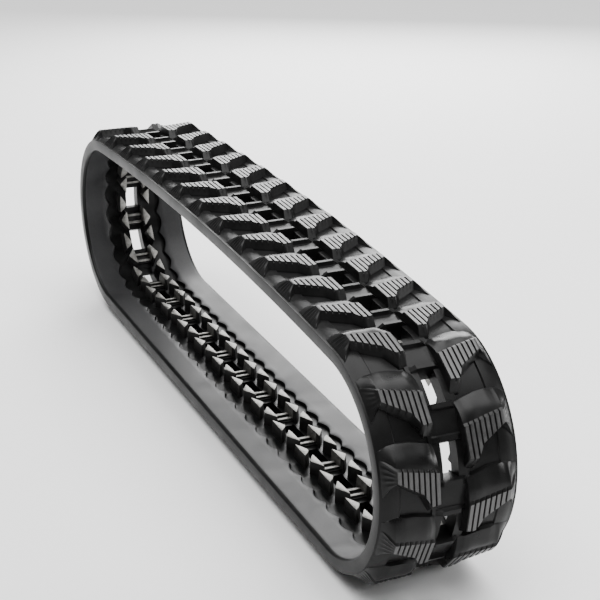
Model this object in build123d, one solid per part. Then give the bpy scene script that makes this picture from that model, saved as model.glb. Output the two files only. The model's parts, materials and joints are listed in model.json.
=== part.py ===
"""Rubber crawler track: an endless rubber band with steel cores, standing on its ground run.

Frame: origin under the middle of the track on the ground, +X towards the near end, +Z up.
The track is laid out along its cord line, the middle of the carcass, which does not stretch.
A place s on that line is counted from the middle of the ground run, growing towards +X.
At any s the local X runs along the line, the local Z points out of the loop to the tread side,
and the local Y is minus the row's Y.
"""

from build123d import *
from math import cos, pi, radians, sin, tan
import os

# Driving dimensions, in millimetres and degrees
WIDTH = 230.0  # over the rubber edges
PITCH = 104.0  # from core to core along the cord line
RUN_LINKS = 12  # links of the ground run, and as many of the top run
NEAR_LINKS = 5  # links that wrap the +X end
FAR_LINKS = 4  # links that wrap the -X end
END_RADIUS = 176.0  # of the cord line round either end
ARCH = radians(4.0)  # slope of the gently arched top run where it meets the ends
CARCASS = 28.0  # thickness of the band between roller path and tread
EDGE_CHAMFER = 3.0  # along the four long edges of the band
LUG_HEIGHT = 15.0
LUG_DRAFT = 18.0  # slope of the lug flanks
LUG_STAGGER = 0.2585 * PITCH  # each lug row stands this far ahead of or behind its core
LUG_FRONT = 0.31 * PITCH  # half the length of the lug top
LUG_OUTLINE = [  # of the top: along the track from the lug's middle, and across from the track's
    (LUG_FRONT, 93.0),
    (LUG_FRONT - 19.0, 93.0),
    (-11.5, 52.0),
    (-LUG_FRONT, 40.0),
    (1.5 - LUG_FRONT, 25.0),
    (LUG_FRONT - 14.5, 25.0),
]
LUG_SUNK = 5.0  # foot of a lug below the tread, trimmed off along the band
WINDOW_LENGTH = 50.0  # sprocket window, along the track
WINDOW_WIDTH = 32.0
FLEX_CUT = 7.2  # each link end is cut back by this angle, so that the link can bend
FLEX_GAP = 0.2  # and by this distance at the cord line
FLEX_REACH = 60.0  # of the cut from the cord line, past lugs and horns

# Steel core, under the cords: heights are local Z, and the roller path is at -CARCASS / 2
WING_LENGTH = 34.0
WING_SPAN = 184.0
WING_BOTTOM = -9.0
WING_TOP = -3.0
WING_CORNER = 8.0  # chamfer of the wing tips
BRIDGE_LENGTH = 30.0
BRIDGE_SPAN = 44.0
BRIDGE_RISE = 3.0  # above the roller path
HORN_RISE = 18.0  # above the roller path
HORN_INNER = 17.6  # from the middle of the track to the horn row
HORN_OUTER = 35.0
HORN_DRAFT = 6.0
HORN_SHIFT = 20.0  # the horn pair on either side stands off the core's middle
HORN_FOOT = 3.0  # depth of the foot below the wings
FRONT_LEAF = [(-2.0, HORN_OUTER), (53.0, HORN_OUTER), (20.0, HORN_INNER)]
REAR_LEAF = [(-53.0, HORN_INNER), (-20.0, HORN_OUTER), (5.0, HORN_INNER + 1.5)]

# Embedded plies: endless steel cords on the cord line, and a cut-guard ply nearer the tread
CORD_THICKNESS = 3.0
CORD_INNER = 36.5
CORD_OUTER = 104.0
GUARD_BOTTOM = 5.0
GUARD_TOP = 6.5
GUARD_INNER = 36.5
GUARD_OUTER = 107.0

# Shape of the cord line: flat, round the end, then the long arch of the top run
LINKS = 2 * RUN_LINKS + NEAR_LINKS + FAR_LINKS
END_MIDDLE = LINKS * PITCH / 4
FLAT_HALF = END_MIDDLE - END_RADIUS * pi / 2
END_STOP = FLAT_HALF + END_RADIUS * (pi - ARCH)
ARCH_RADIUS = FLAT_HALF / sin(ARCH) + END_RADIUS
ARCH_CENTRE = END_RADIUS * (1 + cos(ARCH)) - ARCH_RADIUS * cos(ARCH)
TOP_MIDDLE = END_STOP + ARCH_RADIUS * ARCH
SURFACE = CARCASS / 2


def cord_line(s):
    """Return x, z and heading of the cord line at s, which may run past the top middle."""
    if s > TOP_MIDDLE:
        s -= 2 * TOP_MIDDLE
    side = 1 if s >= 0 else -1
    s = abs(s)
    if s <= FLAT_HALF:
        x, z, heading = s, 0, 0
    elif s <= END_STOP:
        heading = (s - FLAT_HALF) / END_RADIUS
        x = FLAT_HALF + END_RADIUS * sin(heading)
        z = END_RADIUS * (1 - cos(heading))
    else:
        heading = pi - (TOP_MIDDLE - s) / ARCH_RADIUS
        x = ARCH_RADIUS * sin(heading)
        z = ARCH_CENTRE - ARCH_RADIUS * cos(heading)
    return side * x, z, side * heading


def local_frame(s):
    """Return the location of the local frame at s."""
    x, z, heading = cord_line(s)
    along = (cos(heading), 0, sin(heading))
    outwards = (sin(heading), 0, -cos(heading))
    return Plane((x, 0, z), x_dir=along, z_dir=outwards).location


def above_line(s, height):
    """Return the point at a height above the cord line, on the tread side."""
    heading = cord_line(s)[2]
    outwards = Vector(sin(heading), 0, -cos(heading))
    return local_frame(s).position + outwards * height


def loop_outline(height):
    """Return the closed outline of the loop at a height above the cord line."""
    stops = [FLAT_HALF, END_STOP, -END_STOP, -FLAT_HALF]
    middles = [END_MIDDLE, TOP_MIDDLE, -END_MIDDLE]
    points = [above_line(s, height) for s in stops]
    edges = [Edge.make_line(points[-1], points[0])]
    for first, middle, last in zip(points, middles, points[1:]):
        edges.append(Edge.make_three_point_arc(first, above_line(middle, height), last))
    return Wire(edges)


def band(low, high, inner, outer):
    """Return an endless band between two heights, from Y inner to Y outer."""
    ring = Face(loop_outline(high), [loop_outline(low)])
    solid = Solid.extrude(ring, Vector(0, outer - inner, 0))
    return Pos(0, inner, 0) * solid


def flex_cut():
    """Return the gap between two links: an hourglass that opens both ways from the hinge line."""
    spread = FLEX_GAP + FLEX_REACH * tan(radians(FLEX_CUT))
    right = [(FLEX_GAP, 0), (spread, FLEX_REACH)]
    left = [(-spread, FLEX_REACH), (-FLEX_GAP, 0)]
    below = [(-spread, -FLEX_REACH), (spread, -FLEX_REACH)]
    profile = make_face(Polyline(*right, *left, *below, close=True))
    upright = Plane.XZ * profile
    return extrude(upright, WIDTH, both=True)


def lug(side):
    """Return one tread lug in its local frame: side is 1 for the row at +Y, -1 for the other."""
    top = make_face(Polyline(*[(s, -side * y) for s, y in LUG_OUTLINE], close=True))
    top = Pos(0, 0, SURFACE + LUG_HEIGHT) * top
    return extrude(top, LUG_HEIGHT + LUG_SUNK, dir=(0, 0, -1), taper=-LUG_DRAFT)


def slab(length, y_low, y_high, z_low, z_high, x_middle=0):
    """Return a box given by its length along the track and its ranges in Y and Z."""
    box = Box(length, y_high - y_low, z_high - z_low)
    return Pos(x_middle, (y_low + y_high) / 2, (z_low + z_high) / 2) * box


def horn_pair():
    """Return the two leaf-shaped guide horns of one side with the foot they share."""
    tip = -SURFACE - HORN_RISE
    shapes = slab(PITCH, HORN_INNER, HORN_OUTER, WING_BOTTOM - HORN_FOOT, WING_TOP)
    for leaf in (FRONT_LEAF, REAR_LEAF):
        base = make_face(Polyline(*leaf, close=True))
        base = Pos(0, 0, WING_TOP) * base
        shapes += extrude(base, WING_TOP - tip, dir=(0, 0, -1), taper=HORN_DRAFT)
    return Pos(HORN_SHIFT, 0, 0) * shapes


def core():
    """Return a steel core in its local frame: wings, bridge and two pairs of guide horns."""
    half_span = WING_SPAN / 2
    wings = slab(WING_LENGTH, -half_span, half_span, WING_BOTTOM, WING_TOP)
    wings = chamfer(wings.edges().filter_by(Axis.Z), WING_CORNER)
    bridge_low = -SURFACE - BRIDGE_RISE
    bridge = slab(BRIDGE_LENGTH, -BRIDGE_SPAN / 2, BRIDGE_SPAN / 2, bridge_low, WING_TOP)
    horns = horn_pair()
    # Local Y is minus the row's Y, and the core looks the same after half a turn
    horns = mirror(horns, about=Plane.XZ)
    return wings + bridge + horns + Rot(0, 0, 180) * horns


def split_links(rubber, stops):
    """Return the rubber of a run as one solid for each link, split at the places between them."""
    pieces = []
    for s in stops:
        across = Plane(local_frame(s) * Plane.YZ.location)
        pieces.append(largest(split(rubber, bisect_by=across, keep=Keep.BOTTOM)))
        rubber = split(rubber, bisect_by=across, keep=Keep.TOP)
    return pieces + [largest(rubber)]


def largest(shape):
    """Return the largest solid of a shape."""
    return max(shape.solids(), key=lambda solid: solid.volume)


# Bodies in the order of growing s, each with the s where it starts and its count of links
near_start = END_MIDDLE - NEAR_LINKS * PITCH / 2
near_stop = END_MIDDLE + NEAR_LINKS * PITCH / 2
far_stop = 2 * TOP_MIDDLE - END_MIDDLE - FAR_LINKS * PITCH / 2
layout = [("bottom_run", near_start - RUN_LINKS * PITCH, near_start, RUN_LINKS)]
for i in range(NEAR_LINKS):
    start = near_start + i * PITCH
    layout.append((f"near_link_{i + 1}", start, start + PITCH, 1))
layout.append(("top_run", near_stop, far_stop, RUN_LINKS))
for i in range(FAR_LINKS):
    start = far_stop + i * PITCH
    layout.append((f"far_link_{FAR_LINKS - i}", start, start + PITCH, 1))

# Endless bands: the carcass and the plies inside it
carcass = band(-SURFACE, SURFACE, -WIDTH / 2, WIDTH / 2)
solid_band = carcass
long_edges = [e for e in carcass.edges() if abs(e.center().Y) > WIDTH / 2 - 1]
carcass = chamfer(long_edges, EDGE_CHAMFER)
half_cord = CORD_THICKNESS / 2
cords = [
    band(-half_cord, half_cord, -CORD_OUTER, -CORD_INNER),
    band(-half_cord, half_cord, CORD_INNER, CORD_OUTER),
]
guards = [
    band(GUARD_BOTTOM, GUARD_TOP, -GUARD_OUTER, -GUARD_INNER),
    band(GUARD_BOTTOM, GUARD_TOP, GUARD_INNER, GUARD_OUTER),
]

gap = flex_cut()
window = Box(WINDOW_LENGTH, WINDOW_WIDTH, 3 * CARCASS)
ground = Pos(0, 0, -SURFACE - LUG_HEIGHT - CARCASS) * Box(4 * END_MIDDLE, 2 * WIDTH, 2 * CARCASS)
whole_core = core()
lugs = {side: lug(side) for side in (-1, 1)}

nodes = {}
for body, start, stop, count in layout:
    pitch = (stop - start) / count
    middle = local_frame((start + stop) / 2).position
    ends = [local_frame(start) * gap, local_frame(stop) * gap]

    def segment(ring):
        """Return the part of an endless band that belongs to this body."""
        return min((ring - ends).solids(), key=lambda piece: piece.distance_to(middle))

    core_stops = [start + (i + 0.5) * pitch for i in range(count)]
    gaps = [local_frame(start + i * pitch) * gap for i in range(count + 1)]
    spots = zip(core_stops, gaps, gaps[1:])
    cores = [largest(local_frame(s) * whole_core - [*pair]) for s, *pair in spots]
    windows = [local_frame(start + i * pitch) * window for i in range(count + 1)]
    plies = [segment(ring) for ring in cords + guards]
    rubber = segment(carcass) - [*windows, *cores, *plies]
    rubbers = split_links(rubber, [start + i * pitch for i in range(1, count)])
    rows = {}
    for side in (-1, 1):
        spots = [local_frame(s - side * LUG_STAGGER) for s in core_stops]
        cuts = [solid_band, ground, *ends]
        rows[side] = [largest(spot * lugs[side] - cuts) for spot in spots]

    nodes[f"{body}_rubber"] = rubbers
    if count == 1:
        nodes[f"{body}_left_lug"] = rows[-1]
        nodes[f"{body}_right_lug"] = rows[1]
        nodes[f"{body}_core"] = cores
        nodes[f"{body}_plies"] = plies
    else:
        nodes[f"{body}_left_lugs"] = rows[-1]
        nodes[f"{body}_right_lugs"] = rows[1]
        nodes[f"{body}_cores"] = cores
        nodes[f"{body}_left_cords"] = plies[:1]
        nodes[f"{body}_right_cords"] = plies[1:2]
        nodes[f"{body}_guard_ply"] = plies[2:]

# Centre the track over the origin and stand it on the lugs of its ground run
treads = [solid for node, solids in nodes.items() if "_lug" in node for solid in solids]
box = Compound(children=treads).bounding_box()
to_row = Pos(-box.center().X, 0, SURFACE + LUG_HEIGHT)
os.makedirs("parts", exist_ok=True)
for node, solids in nodes.items():
    export_step(Compound(children=[to_row * solid for solid in solids]), f"parts/{node}.step")

for body, start, stop, count in layout:
    hinge = (to_row * local_frame(start)).position
    print("hinge where", body, "starts:", round(hinge.X, 4), round(hinge.Z, 4))
print("moved along X by", round(-box.center().X, 4))
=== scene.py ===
"""Looks of a rubber crawler track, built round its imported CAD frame.

Every rubber and steel piece is modelled flat, as it lies in the ground run: X along the track,
Y across it, Z up towards the inside of the loop, with Z 0 on the cord line. It is then laid
round the loop along the cord line. A cell of the track is the stretch from one core to the next,
with a sprocket window in its middle. Lengths are in metres.
"""

import json
from math import cos, pi, radians, sin, tan

import bpy
import numpy as np
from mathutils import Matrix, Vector

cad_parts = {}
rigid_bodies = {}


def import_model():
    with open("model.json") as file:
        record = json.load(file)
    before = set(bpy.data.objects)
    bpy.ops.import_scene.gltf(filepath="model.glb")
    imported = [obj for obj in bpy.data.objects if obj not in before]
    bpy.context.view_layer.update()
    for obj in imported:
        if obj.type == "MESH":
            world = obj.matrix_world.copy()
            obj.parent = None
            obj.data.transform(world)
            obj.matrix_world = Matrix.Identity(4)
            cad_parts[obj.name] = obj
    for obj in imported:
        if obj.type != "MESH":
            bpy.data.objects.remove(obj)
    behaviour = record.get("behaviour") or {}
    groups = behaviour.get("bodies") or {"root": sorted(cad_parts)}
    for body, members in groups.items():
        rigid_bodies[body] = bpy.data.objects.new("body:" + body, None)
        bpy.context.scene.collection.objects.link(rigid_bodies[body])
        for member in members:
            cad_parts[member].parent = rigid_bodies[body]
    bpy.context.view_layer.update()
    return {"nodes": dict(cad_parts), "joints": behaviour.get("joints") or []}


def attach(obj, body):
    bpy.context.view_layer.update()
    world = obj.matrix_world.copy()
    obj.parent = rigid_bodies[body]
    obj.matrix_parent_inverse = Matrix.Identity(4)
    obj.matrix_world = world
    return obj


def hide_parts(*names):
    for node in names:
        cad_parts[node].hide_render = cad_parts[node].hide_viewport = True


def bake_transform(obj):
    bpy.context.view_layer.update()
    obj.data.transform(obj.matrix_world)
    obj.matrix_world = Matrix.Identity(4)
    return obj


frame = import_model()
MM = 0.001

# Driving dimensions, as the CAD has them
PITCH = 104 * MM
RUN_LINKS = 12
NEAR_LINKS = 5
FAR_LINKS = 4
END_RADIUS = 176 * MM
ARCH = radians(4)
HALF_BAND = 14 * MM  # half the thickness of the band
LUG_HEIGHT = 15 * MM
LUG_STAGGER = 0.2585 * PITCH

# Shape of the cord line
LINKS = 2 * RUN_LINKS + NEAR_LINKS + FAR_LINKS
END_MIDDLE = LINKS * PITCH / 4
FLAT_HALF = END_MIDDLE - END_RADIUS * pi / 2
END_STOP = FLAT_HALF + END_RADIUS * (pi - ARCH)
ARCH_RADIUS = FLAT_HALF / sin(ARCH) + END_RADIUS
ARCH_CENTRE = END_RADIUS * (1 + cos(ARCH)) - ARCH_RADIUS * cos(ARCH)
TOP_MIDDLE = END_STOP + ARCH_RADIUS * ARCH
hinges = {joint["name"]: Vector(joint["pos_m"]) for joint in frame["joints"]}
near_turn = (END_MIDDLE - FLAT_HALF - PITCH / 2) / END_RADIUS  # heading at near_hinge_3
LOOP_X = hinges["near_hinge_3"].x - FLAT_HALF - END_RADIUS * sin(near_turn)  # middle of the ground run
CORD_Z = HALF_BAND + LUG_HEIGHT


def cord_line(s):
    """Return x, z and heading of the cord line at each s of an array."""
    s = np.where(s > TOP_MIDDLE, s - 2 * TOP_MIDDLE, s)
    side = np.where(s >= 0, 1.0, -1.0)
    s = abs(s)
    turn = np.clip((s - FLAT_HALF) / END_RADIUS, 0, pi - ARCH)
    x = np.minimum(s, FLAT_HALF) + END_RADIUS * np.sin(turn)
    z = END_RADIUS * (1 - np.cos(turn))
    on_arch = s > END_STOP
    slope = pi - (TOP_MIDDLE - s) / ARCH_RADIUS
    x = np.where(on_arch, ARCH_RADIUS * np.sin(slope), x)
    z = np.where(on_arch, ARCH_CENTRE - ARCH_RADIUS * np.cos(slope), z)
    heading = np.where(on_arch, slope, turn)
    return side * x + LOOP_X, z + CORD_Z, side * heading


def lay(piece, start, stretch=1.0):
    """Lay a flat piece round the loop, with its X 0 at cord line place start."""
    flat = places_of(piece)
    x, z, heading = cord_line(start + flat[:, 0] * stretch)
    laid_x = x - flat[:, 2] * np.sin(heading)
    laid_z = z + flat[:, 2] * np.cos(heading)
    set_places(piece, np.stack([laid_x, flat[:, 1], laid_z], 1))
    return piece


# Modelling
def set_places(piece, places):
    """Give the vertices of a piece their places, an array of rows in metres."""
    piece.data.vertices.foreach_set("co", places.astype(np.float32).ravel())
    piece.data.update()


def places_of(piece):
    """Return the places of a piece's vertices as an array of rows."""
    flat = np.empty(len(piece.data.vertices) * 3, np.float32)
    piece.data.vertices.foreach_get("co", flat)
    return flat.reshape(-1, 3).astype(float)


def pick_faces(piece, test):
    """In edit mode, select only the faces whose middle passes the test."""
    bpy.ops.mesh.select_mode(type="FACE")
    bpy.ops.mesh.select_all(action="DESELECT")
    bpy.ops.object.mode_set(mode="OBJECT")
    for face in piece.data.polygons:
        face.select = bool(test(face.center))
    bpy.ops.object.mode_set(mode="EDIT")


def outwards(piece):
    """Turn the normals of a piece outwards and smooth its shading except over sharp edges."""
    bpy.ops.object.mode_set(mode="EDIT")
    bpy.ops.mesh.select_all(action="SELECT")
    bpy.ops.mesh.normals_make_consistent(inside=False)
    bpy.ops.object.mode_set(mode="OBJECT")
    bpy.ops.object.shade_smooth_by_angle(angle=radians(32))


def lattice(name, columns, rows, shape, is_hole=None):
    """Return a closed piece: a grid, less its holes, extruded into a slab of two layers.

    shape gives every vertex its place in millimetres from its column, row and layer.
    """
    bpy.ops.mesh.primitive_grid_add(x_subdivisions=columns, y_subdivisions=rows, size=2)
    piece = bpy.context.object
    piece.name = name
    piece.data.name = name
    bpy.ops.object.mode_set(mode="EDIT")
    bpy.ops.mesh.select_all(action="SELECT")
    bpy.ops.transform.translate(value=(1, 1, 0))
    bpy.ops.transform.resize(value=(columns / 2, rows / 2, 1), center_override=(0, 0, 0))
    if is_hole:
        pick_faces(piece, is_hole)
        bpy.ops.mesh.delete(type="FACE")
        bpy.ops.mesh.select_all(action="SELECT")
    bpy.ops.mesh.extrude_region_move(TRANSFORM_OT_translate={"value": (0, 0, 1)})
    bpy.ops.object.mode_set(mode="OBJECT")
    spots = np.rint(places_of(piece)).astype(int)
    set_places(piece, shape(spots[:, 0], spots[:, 1], spots[:, 2]) * MM)
    outwards(piece)
    return piece


def ease(value):
    """Return a smooth step from 0 to 1."""
    value = np.clip(value, 0, 1)
    return value * value * (3 - 2 * value)


# Carcass of one cell, in millimetres: x from core to core, y across, z up to the roller path
CELL = 104.0
HALF = 14.0  # half the thickness of the band
BARS = [0, 4, 8, 12, 16.2, 17.2, 18.6, 22, 25.4, 27]  # grid stops close by a core
BETWEEN = list(np.linspace(27, 77, 18))  # and over the window
X_STOPS = np.array(BARS[:-1] + BETWEEN + [CELL - x for x in BARS[-2::-1]])
INNER_STOPS = [0, 7, 13, 15, 24, 30, 31.5, 36, 44, 52, 58]
STEP_STOPS = [60, 62, 64, 72, 82, 84, 94, 102, 105]
EDGE_STOPS = [108.5, 112, 113.6, 114.6, 115]
Y_STOPS = np.array(INNER_STOPS + STEP_STOPS + EDGE_STOPS)
COLUMNS = len(X_STOPS) - 1
WINDOW_COLUMNS = (9, 26)  # grid lines at the two ends of the sprocket window, 27 and 77 mm
WINDOW_ROWS = 2  # its face rows on either side of the middle


def carcass_shape(column, row, layer):
    """Return places in the carcass: layer 1 is the roller side and layer 0 the tread side."""
    x = X_STOPS[column]
    middle = len(Y_STOPS) - 1
    side = np.sign(row - middle)
    stop = abs(row - middle)
    y = Y_STOPS[stop]
    # Roller side: bridge floor, horn trough, scalloped inner step, roller path, rounded edge
    wave = abs(np.sin(2 * pi * (x + side * 10) / CELL))
    step = 54 + 9 * wave
    wall = (stop >= 10) & (stop <= 13)
    y_in = np.where(stop == 9, np.minimum(y, step - 4), y)
    y_in = np.where(wall, step + (y - 61) * 0.9, y_in)
    trough = 8.2 - 1.4 * wave
    height = np.where(y < 16, 9.5, np.where(stop < 11, trough, 14.0))
    height = np.where(stop == 11, trough + 0.8, height)
    height = np.where(stop == 12, 13.2, height)
    height = np.where(stop >= 20, 14 - 0.9 * (y - 108.5) / 3.5, height)
    height = np.where(stop == 22, 12.2, height)
    height = np.where(stop == 23, 11.0, height)
    height = np.where(stop == 24, 9.6, height)
    # Tread side: two cross bars by each core, recessed floor, hollow shoulders
    off_core = np.minimum(x, CELL - x)
    bar = ease((off_core - 16.5) / 2) - ease((off_core - 25.6) / 1.4)
    rise = np.where(y < 23, 6.5 * bar + 0.6, 0.0)
    rise = np.where((y > 31) & (y < 83), -2.2, rise)
    edge = ease((y - 94) / 21)
    rise = rise - 4.5 * edge * (y > 93)
    rise = np.where(stop == 24, -5.6, rise)
    z = np.where(layer == 1, height, -HALF - rise)
    y_all = np.where(layer == 1, y_in, y)
    return np.stack([x, side * y_all, z], 1)


def in_window(centre):
    """Return whether a face of the carcass grid lies in the sprocket window."""
    middle = len(Y_STOPS) - 1
    first, last = WINDOW_COLUMNS
    return first <= centre.x <= last and abs(centre.y - middle) < WINDOW_ROWS


def carcass_cell(name, first=0, last=COLUMNS):
    """Return the carcass of one cell, or the part of it between two grid columns."""

    def is_hole(centre):
        return in_window(centre) or not first < centre.x < last

    return lattice(name, COLUMNS, 2 * len(Y_STOPS) - 2, carcass_shape, is_hole)


# Tread lug: x from its middle, v across from the middle of the track, rise above the tread
RIBS = 8
RIB_PITCH = 8.75
GROOVE = 2.0
GROOVE_DEPTH = 2.6
FIRST_RIB = 25  # from the middle of the track
LUG_TOP = 15  # above the tread
SUNK = -3.2  # foot of a lug, inside the carcass
OUTER_SUNK = -5.9  # and under its outer end, where the tread falls away
BASE_DEPTH = 6.5  # of a lug's hidden base below the tread
# Rows of a rib: across from its start, and the rise of its rounded edges and crown
RIB_END = RIB_PITCH - GROOVE
ROWS_OF_RIB = [(0, -0.6), (0.6, 0), (3.4, 0.12), (RIB_END - 0.6, 0), (RIB_END, -0.6)]
OUTER_STOPS = [95.5, 98, 100.5, 103, 105.5, 108, 110.5, 112.5]
V_STOPS = [22.6, 23.2, 24.4]
TOP_DROPS = [16.4, 14.0, 1.2]
for rib in range(RIBS):
    V_STOPS += [FIRST_RIB + rib * RIB_PITCH + v for v, _ in ROWS_OF_RIB]
    TOP_DROPS += [-drop for _, drop in ROWS_OF_RIB]
    if rib < RIBS - 1:
        next_rib = FIRST_RIB + (rib + 1) * RIB_PITCH
        V_STOPS += [next_rib - GROOVE + 0.25, next_rib - 0.25]
        TOP_DROPS += [GROOVE_DEPTH, GROOVE_DEPTH]
V_STOPS = np.array(V_STOPS + OUTER_STOPS)
TOP_DROPS = np.array(TOP_DROPS + [0.0] * len(OUTER_STOPS))
# Plan of a lug: x of its front wall, of the rear edge of its top and of its ledge, by v
FRONT = ([22, 25, 38, 41, 52, 93, 113], [-30.2, -30.7, -32.2, -31.2, -11.5, 13.2, 3])
REAR = ([22, 25, 93, 113], [17.3, 17.7, 32.2, 44])
LEDGE = ([22, 34, 60, 84, 95, 113], [50, 53, 59, 61, 60, 52])
WALL_COLUMNS = 4  # grid columns of the front wall, the ribbed top and the ramp behind it
TOP_COLUMNS = 13
RAMP_COLUMNS = 12


def lug_surface(column, row):
    """Return x, v and rise of the lug's upper surface at a column and a row of its grid."""
    v = V_STOPS[row]
    front, rear, ledge = (np.interp(v, *line) for line in (FRONT, REAR, LEDGE))
    drop = TOP_DROPS[row]
    outer = np.clip((v - 93) / 19.5, 0, 1)
    top = LUG_TOP * (1 - outer) ** 0.8 - drop
    shoulder_rise = -4.5 * ease((v - 94) / 21) - 0.25
    top = np.where(v > 92.8, 14.6 * (1 - outer) ** 1.25 + shoulder_rise * outer, top)
    inner_wall = row < 3
    toe = ease((41 - v) / 4)
    slope = tan(radians(16)) + 0.30 * toe + 0.5 * outer
    # Wall: from the sunk foot up to the rounded top edge
    edge_rise = top - 0.9
    wall_columns = [column == 0, column == 1, column == 2, column == 3]
    wall_rise = np.select(wall_columns, [SUNK, 0.4, 2.5, edge_rise], 0)
    wall_rise = np.minimum(wall_rise, np.maximum(edge_rise, SUNK))
    wall_x = front - (LUG_TOP - wall_rise) * slope - np.where(column <= 1, 1.2, 0)
    # Top: flat ribs, with four fan ridges over its outer end
    top_end = WALL_COLUMNS + TOP_COLUMNS
    across = np.clip((column - WALL_COLUMNS) / (TOP_COLUMNS - 1), 0, 1)
    top_x = front + 0.5 + (rear - front - 0.9) * across
    ridge = np.where((column >= WALL_COLUMNS) & (column < top_end), np.cos(2 * pi * across * 4), 0)
    top_rise = top + 1.1 * ridge * np.sin(pi * np.clip((v - 93.5) / 18, 0, 1))
    # Ramp: a long dome from the rear edge of the top down to a ledge
    last = top_end - 1 + RAMP_COLUMNS
    ramp = np.clip((column - top_end + 1) / RAMP_COLUMNS, 0, 1)
    fall = 12.0 - 7.4 * ramp**1.9 - 0.4 * ramp
    shoulder = ease((36 - v) / 13)
    dome = 1.3 * np.sin(pi * ramp) * ease((v - 30) / 14) * ease((62 - v) / 22)
    fall = fall - (0.8 + 4.4 * ramp) * shoulder + dome
    fall = fall - 3.6 * ease((v - 74) / 16) * ramp
    fall = np.where(v > 92, fall * (1 - outer) ** 1.5 + shoulder_rise * outer, fall)
    fall = np.where(inner_wall, np.maximum(fall - drop, SUNK), fall)
    ramp_x = rear + 0.4 + (ledge - rear) * ramp
    regions = [column < WALL_COLUMNS, column < top_end]
    x = np.select(regions, [wall_x, top_x], ramp_x)
    rise = np.select(regions, [wall_rise, top_rise], fall)
    # Back of the ledge, down into the carcass
    back = [column == last + 1, column == last + 2]
    x = np.select(back, [ledge + 1.4, ledge + 2.6], x)
    rise = np.select(back, [np.minimum(-0.6, fall), SUNK], rise)
    rise = np.where(row == 0, SUNK, rise)
    rise = np.where(row == len(V_STOPS) - 1, OUTER_SUNK, rise)
    return x, v, np.maximum(rise, OUTER_SUNK)


def lug_piece(name, side):
    """Return a lug with its dome: side is 1 for the row at +Y, -1 for the other."""

    def shape(column, row, layer):
        x, v, rise = lug_surface(column, row)
        z = np.where(layer == 1, -HALF + BASE_DEPTH, -HALF - rise)
        return np.stack([x, side * v, z], 1)

    return lattice(name, WALL_COLUMNS + 1 + TOP_COLUMNS + RAMP_COLUMNS, len(V_STOPS) - 1, shape)


# Steel core, in millimetres about its middle
LONG_LEAF = [(19, 34.6), (45, 35.2), (70, 34.4), (72, 33.4), (58, 26), (41, 18.4), (37, 19.2), (27, 26)]
SHORT_LEAF = [
    (-31, 18.2),
    (-29, 17.4),
    (0, 17.4),
    (23, 18.6),
    (24.5, 20.6),
    (3, 34.2),
    (-1.5, 34.4),
    (-15, 27),
]
WINGS = [(-17, -84), (-9, -92), (9, -92), (17, -84), (17, 84), (9, 92), (-9, 92), (-17, 84)]
BEND_STOPS = range(-30, 71, 10)  # cuts across a prism, so that it can follow the bend of the loop


def rectangle(middle, half_length, half_width):
    """Return the outline of a rectangle centred at x middle and y 0."""
    low, high = middle - half_length, middle + half_length
    return [(low, -half_width), (high, -half_width), (high, half_width), (low, half_width)]


def steel_prism(name, outline, low, high, taper, round_by=0.8):
    """Return a prism over an outline in millimetres, narrowed towards its top and rounded."""
    bpy.ops.mesh.primitive_circle_add(vertices=len(outline), radius=1, fill_type="NGON")
    piece = bpy.context.object
    piece.name = name
    set_places(piece, np.array([[x, y, low] for x, y in outline]) * MM)
    bpy.ops.object.mode_set(mode="EDIT")
    bpy.ops.mesh.select_all(action="SELECT")
    bpy.ops.mesh.extrude_region_move(TRANSFORM_OT_translate={"value": (0, 0, (high - low) * MM)})
    bpy.ops.transform.resize(value=(taper, taper, 1))
    bpy.ops.mesh.select_all(action="SELECT")
    bpy.ops.mesh.normals_make_consistent(inside=False)
    bpy.ops.mesh.bevel(offset=round_by * MM, segments=2, affect="EDGES")
    for x in BEND_STOPS:
        bpy.ops.mesh.select_all(action="SELECT")
        bpy.ops.mesh.bisect(plane_co=(x * MM, 0, 0), plane_no=(1, 0, 0))
    bpy.ops.object.mode_set(mode="OBJECT")
    outwards(piece)
    return piece


def join(name, pieces):
    """Return the pieces joined as one."""
    bpy.ops.object.select_all(action="DESELECT")
    for piece in pieces:
        piece.select_set(True)
    bpy.context.view_layer.objects.active = pieces[0]
    bpy.ops.object.join()
    pieces[0].name = name
    pieces[0].data.name = name
    return pieces[0]


def turned(outline):
    """Return an outline after half a turn about the core's middle."""
    return [(-x, -y) for x, y in outline]


def core_piece(name):
    """Return a core: two leaf horns on either side, the bridge with its bars, and the wings."""
    parts = []
    for leaf in (LONG_LEAF, SHORT_LEAF, turned(LONG_LEAF), turned(SHORT_LEAF)):
        parts.append(steel_prism("leaf", leaf, 4, 32, 0.86))
    parts.append(steel_prism("bridge", rectangle(0, 15, 19), 3.4, 12.5, 1))
    for x in (-9, 9):
        parts.append(steel_prism("bar", rectangle(x, 3.6, 18), 10, 17, 0.9, 1.2))
    parts.append(steel_prism("wings", WINGS, 3, 6, 1, 0.5))
    return join(name, parts)


# Bodies in the order of growing s, each with the s where it starts and its count of links
near_start = END_MIDDLE - NEAR_LINKS * PITCH / 2
near_stop = END_MIDDLE + NEAR_LINKS * PITCH / 2
far_stop = 2 * TOP_MIDDLE - END_MIDDLE - FAR_LINKS * PITCH / 2
layout = [("bottom_run", near_start - RUN_LINKS * PITCH, near_start, RUN_LINKS)]
for i in range(NEAR_LINKS):
    layout.append((f"near_link_{i + 1}", near_start + i * PITCH, near_start + (i + 1) * PITCH, 1))
layout.append(("top_run", near_stop, far_stop, RUN_LINKS))
for i in range(FAR_LINKS):
    layout.append((f"far_link_{FAR_LINKS - i}", far_stop + i * PITCH, far_stop + (i + 1) * PITCH, 1))

links = []  # every link's body, the s of its core, and its pitch
for body, start, stop, count in layout:
    pitch = (stop - start) / count
    links += [(body, start + (i + 0.5) * pitch, pitch) for i in range(count)]

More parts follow.
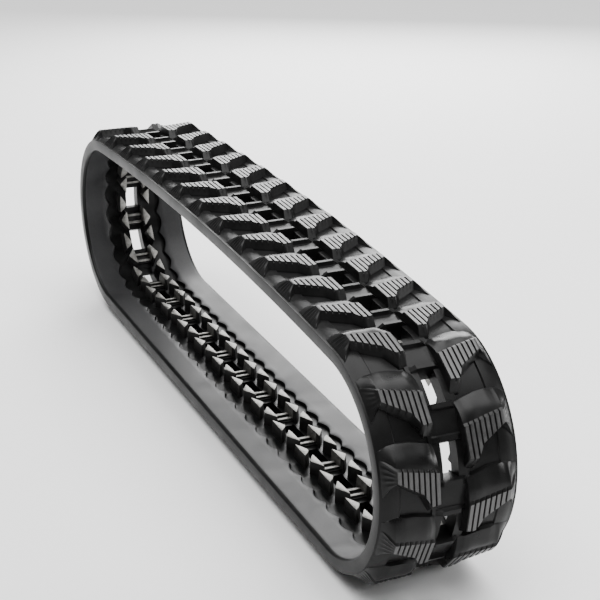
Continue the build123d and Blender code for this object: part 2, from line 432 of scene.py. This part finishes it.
carcass_master = carcass_cell("carcass_master")
middle_column = COLUMNS // 2  # both halves have it, so that they overlap at the open pivot
half_masters = [
    carcass_cell("half_master_a", last=middle_column + 1),
    carcass_cell("half_master_b", first=middle_column),
]
lug_masters = {side: lug_piece(f"lug_master_{side}", side) for side in (-1, 1)}
core_master = core_piece("core_master")


def copy_of(master, name):
    """Return a copy of a piece with its own mesh."""
    piece = master.copy()
    piece.data = master.data.copy()
    piece.name = name
    piece.data.name = name
    bpy.context.scene.collection.objects.link(piece)
    return piece


STIFF_REACH = 52 * MM  # from a lug's middle to where it follows the carcass fully
STIFF_FADE = 14 * MM


def lay_straight(piece, middle):
    """Lay a lug at cord line place middle: its foot follows the carcass, its top stays straight."""
    flat = places_of(piece)
    bent = places_of(lay(piece, middle))
    x, z, heading = (float(value[0]) for value in cord_line(np.array([middle])))
    straight_x = x + flat[:, 0] * cos(heading) - flat[:, 2] * sin(heading)
    straight_z = z + flat[:, 0] * sin(heading) + flat[:, 2] * cos(heading)
    straight = np.stack([straight_x, flat[:, 1], straight_z], 1)
    stiff = ease((-flat[:, 2] - HALF_BAND) / LUG_HEIGHT)[:, None]
    stiff = stiff * ease((STIFF_REACH - abs(flat[:, :1])) / STIFF_FADE)
    places = bent + (straight - bent) * stiff
    places[:, 2] = np.maximum(places[:, 2], 0)
    set_places(piece, places)
    return piece


def bind(piece, before, after):
    """Let a piece ride one link; a piece between two links is baked in place and rides neither."""
    if before == after:
        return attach(piece, before)
    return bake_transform(piece)


# Finishes
def linear(code):
    """Return the linear colour of an sRGB hex code."""
    parts = [int(code[i : i + 2], 16) / 255 for i in (1, 3, 5)]
    return [c / 12.92 if c <= 0.04045 else ((c + 0.055) / 1.055) ** 2.4 for c in parts] + [1]


def add_node(material, kind, inputs=(), links=(), **settings):
    """Add a shader node, set its inputs by name, and link named inputs to outputs."""
    node = material.node_tree.nodes.new(kind)
    for key, value in settings.items():
        setattr(node, key, value)
    for key, value in dict(inputs).items():
        node.inputs[key].default_value = value
    for key, output in dict(links).items():
        material.node_tree.links.new(output, node.inputs[key])
    return node


def finish(name, dark, light, grain_mm, rough, bump_mm, metallic=0.0, patch_mm=60, shine=0.3):
    """Return a material whose colour drifts from dark to light in patches, with a fine grain."""
    material = bpy.data.materials.new(name)
    material.use_nodes = True
    principled = material.node_tree.nodes["Principled BSDF"]
    link = material.node_tree.links.new
    where = add_node(material, "ShaderNodeTexCoord").outputs["Object"]
    patch_inputs = {"Scale": 1000 / patch_mm, "Detail": 4, "Roughness": 0.6}
    patches = add_node(material, "ShaderNodeTexNoise", patch_inputs, {"Vector": where})
    patch = patches.outputs["Fac"]
    grain_inputs = {"Scale": 1000 / grain_mm, "Detail": 5, "Roughness": 0.65}
    grains = add_node(material, "ShaderNodeTexNoise", grain_inputs, {"Vector": where})
    grain = grains.outputs["Fac"]
    spread = add_node(material, "ShaderNodeMath", {1: 0.45}, {0: grain}, operation="MULTIPLY")
    total = add_node(material, "ShaderNodeMath", {1: 0.6, 2: -0.08}, {0: patch}, operation="MULTIPLY_ADD")
    both = {0: spread.outputs[0], 1: total.outputs[0]}
    mixed = add_node(material, "ShaderNodeMath", {}, both, operation="ADD")
    ramp = add_node(material, "ShaderNodeValToRGB", {}, {"Fac": mixed.outputs[0]})
    ramp.color_ramp.elements[0].position = 0.28
    ramp.color_ramp.elements[1].position = 0.72
    ramp.color_ramp.elements[0].color = linear(dark)
    ramp.color_ramp.elements[1].color = linear(light)
    link(ramp.outputs["Color"], principled.inputs["Base Color"])
    ranges = {"From Min": 0.3, "From Max": 0.7, "To Min": rough[0], "To Max": rough[1]}
    gloss = add_node(material, "ShaderNodeMapRange", ranges, {"Value": patch})
    link(gloss.outputs["Result"], principled.inputs["Roughness"])
    bump_inputs = {"Strength": 0.6, "Distance": bump_mm * MM}
    bump = add_node(material, "ShaderNodeBump", bump_inputs, {"Height": grain})
    link(bump.outputs["Normal"], principled.inputs["Normal"])
    principled.inputs["Metallic"].default_value = metallic
    if not metallic:
        principled.inputs["Specular IOR Level"].default_value = shine
    return material


# Moulded black rubber, semi-gloss from the mould
carcass_finish = finish("moulded_rubber", "#0a0a0a", "#181818", 1.6, (0.28, 0.44), 0.10, shine=0.13)
# The same rubber on the lugs, a little scuffed
lug_finish = finish("tread_rubber", "#0b0b0b", "#1c1c1c", 1.2, (0.26, 0.42), 0.12, shine=0.18)
# Rib tops scuffed dull grey, and lighter than the flanks as painted light on the tops
scuffed_and_lit_finish = finish(
    "scuffed_and_lit_rubber", "#1a1a1a", "#444444", 1.4, (0.34, 0.48),
    0.2, patch_mm=16, shine=0.7
)
# Roller path polished grey by handling and dust
path_finish = finish(
    "roller_path_rubber", "#222223", "#39393a", 2.5, (0.40, 0.55),
    0.08, patch_mm=90, shine=0.3
)
# Cast steel, bare and grainy, the lit copy for the tops of the horns and bars: lighter as painted light
lit_steel_finish = finish(
    "lit_top_cast_steel", "#5d5c59", "#bdbcb8", 0.9, (0.38, 0.6),
    0.3, metallic=0.85, patch_mm=9
)
# The same steel, the shaded copy for every other face of the core: darkened as painted shade
shaded_steel_finish = finish(
    "shaded_cast_steel", "#0e0e0e", "#2c2b2a", 1.1, (0.45, 0.65),
    0.3, patch_mm=14, shine=0.3
)
# Brass-plated steel cords, inside the rubber
cord_finish = finish("steel_cord", "#8a7f63", "#a89b7c", 0.8, (0.35, 0.5), 0.1, metallic=1.0)
# Rubberised fabric of the cut guard, inside the rubber
fabric_finish = finish("guard_fabric", "#2b2b2c", "#3a3a3b", 0.6, (0.7, 0.85), 0.1)


def paint(piece, *finishes):
    """Give a piece its materials, the first on all faces."""
    piece.data.materials.clear()
    for material in finishes:
        piece.data.materials.append(material)


def assign(piece, index, test):
    """Give the faces of a flat piece that pass the test another of its materials."""
    bpy.context.view_layer.objects.active = piece
    for face in piece.data.polygons:
        if test(face.center / MM, face.normal):
            face.material_index = index


for master in [carcass_master, *half_masters]:
    paint(master, carcass_finish, path_finish)
    assign(master, 1, lambda c, n: c.z > 13.5 and 50 < abs(c.y) < 108)
for master in lug_masters.values():
    paint(master, lug_finish, scuffed_and_lit_finish)
    # Rib tops take the lighter rubber: part real scuffing, part painted light
    assign(master, 1, lambda c, n: c.z < -HALF - 14.3 and n.z < -0.8)
paint(core_master, shaded_steel_finish, lit_steel_finish)
# Tops of the horns and bars take the lit steel, all other faces the painted shade of the dark copy
assign(core_master, 1, lambda c, n: (c.z > 30.4 and n.z > 0.3) or (abs(c.y) < 18.5 and c.z > 15.6))
for name, node in frame["nodes"].items():
    if name.endswith("plies") or "cords" in name:
        paint(node, cord_finish)
    if name.endswith("guard_ply"):
        paint(node, fabric_finish)

# Lay every piece
pieces = {body: {"rubber": [], "left_lug": [], "right_lug": [], "core": []} for body, *_ in layout}
joined = {frozenset((joint["parent"], joint["child"])) for joint in frame["joints"]}
for number, (body, core_s, pitch) in enumerate(links):
    after, _, after_pitch = links[(number + 1) % len(links)]
    tag = f"{number + 1:02d}"
    stretch = (pitch + after_pitch) / 2 / PITCH
    open_pivot = body != after and frozenset((body, after)) not in joined
    masters = half_masters if open_pivot else [carcass_master]
    for part, master in enumerate(masters):
        cell = copy_of(master, f"carcass_{tag}_{'ab'[part]}" if open_pivot else f"carcass_{tag}")
        lay(cell, core_s, stretch)
        owner = (body, after)[part]
        if open_pivot:
            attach(cell, owner)
        else:
            bind(cell, body, after)
        pieces[owner]["rubber"].append(cell)
    next_core_s = core_s + pitch * stretch
    for side, word, where in ((-1, "left_lug", core_s), (1, "right_lug", next_core_s)):
        middle = where - side * LUG_STAGGER
        lug = lay_straight(copy_of(lug_masters[side], f"{word}_{tag}"), middle)
        owner = body if side < 0 else after
        if open_pivot:
            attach(lug, owner)
        else:
            bind(lug, body, after)
        pieces[owner][word].append(lug)
    core = lay(copy_of(core_master, f"core_{tag}"), core_s)
    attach(core, body)
    pieces[body]["core"].append(core)

for body, kinds in pieces.items():
    for kind, members in kinds.items():
        node = f"{body}_{kind}" + ("s" if body.endswith("run") and kind != "rubber" else "")
        for member in members:
            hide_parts(node)

for master in [carcass_master, *half_masters, *lug_masters.values(), core_master]:
    bpy.data.objects.remove(master)

# Floor, light and camera
bpy.ops.mesh.primitive_plane_add(size=40, location=(0, 0, 0))
floor = bpy.context.object
floor.name = "floor"
floor_finish = bpy.data.materials.new("floor")
floor_finish.use_nodes = True
floor_surface = floor_finish.node_tree.nodes["Principled BSDF"]
floor_surface.inputs["Base Color"].default_value = linear("#f4f4f4")
floor_surface.inputs["Roughness"].default_value = 0.9
floor.data.materials.append(floor_finish)

world = bpy.data.worlds.new("studio")
bpy.context.scene.world = world
world.use_nodes = True
background = world.node_tree.nodes["Background"]
background.inputs["Color"].default_value = linear("#ffffff")
background.inputs["Strength"].default_value = 0.22


def softbox(name, place, aim, size, power):
    """Add a square area light that faces a point."""
    light = bpy.data.lights.new(name, "AREA")
    light.shape = "SQUARE"
    light.size = size
    light.energy = power
    lamp = bpy.data.objects.new(name, light)
    lamp.location = place
    lamp.rotation_euler = (Vector(aim) - Vector(place)).to_track_quat("-Z", "Y").to_euler()
    bpy.context.scene.collection.objects.link(lamp)


sun = bpy.data.lights.new("ceiling", "SUN")
sun.energy = 3.2
sun.angle = radians(80)
ceiling = bpy.data.objects.new("ceiling", sun)
bpy.context.scene.collection.objects.link(ceiling)
softbox("overhead", (0, 0, 3.0), (0, 0, 0), 3.2, 120)
softbox("behind", (-2.6, 1.5, 1.5), (0, 0, 0.3), 2.0, 110)
softbox("right", (1.6, 2.6, 1.1), (0.5, 0, 0.25), 1.0, 45)

LENS = 95.515
DISTANCE = 2.9442
azimuth = radians(66.546)
elevation = radians(21.961)
away = Vector((sin(azimuth) * cos(elevation), -cos(azimuth) * cos(elevation), sin(elevation)))
target = Vector((0.06263, 0.06614, 0.24199))
camera_data = bpy.data.cameras.new("camera")
camera_data.sensor_width = 36
camera_data.lens = LENS
camera = bpy.data.objects.new("camera", camera_data)
camera.location = target + away * DISTANCE
camera.rotation_euler = (-away).to_track_quat("-Z", "Y").to_euler()
bpy.context.scene.collection.objects.link(camera)
bpy.context.scene.camera = camera
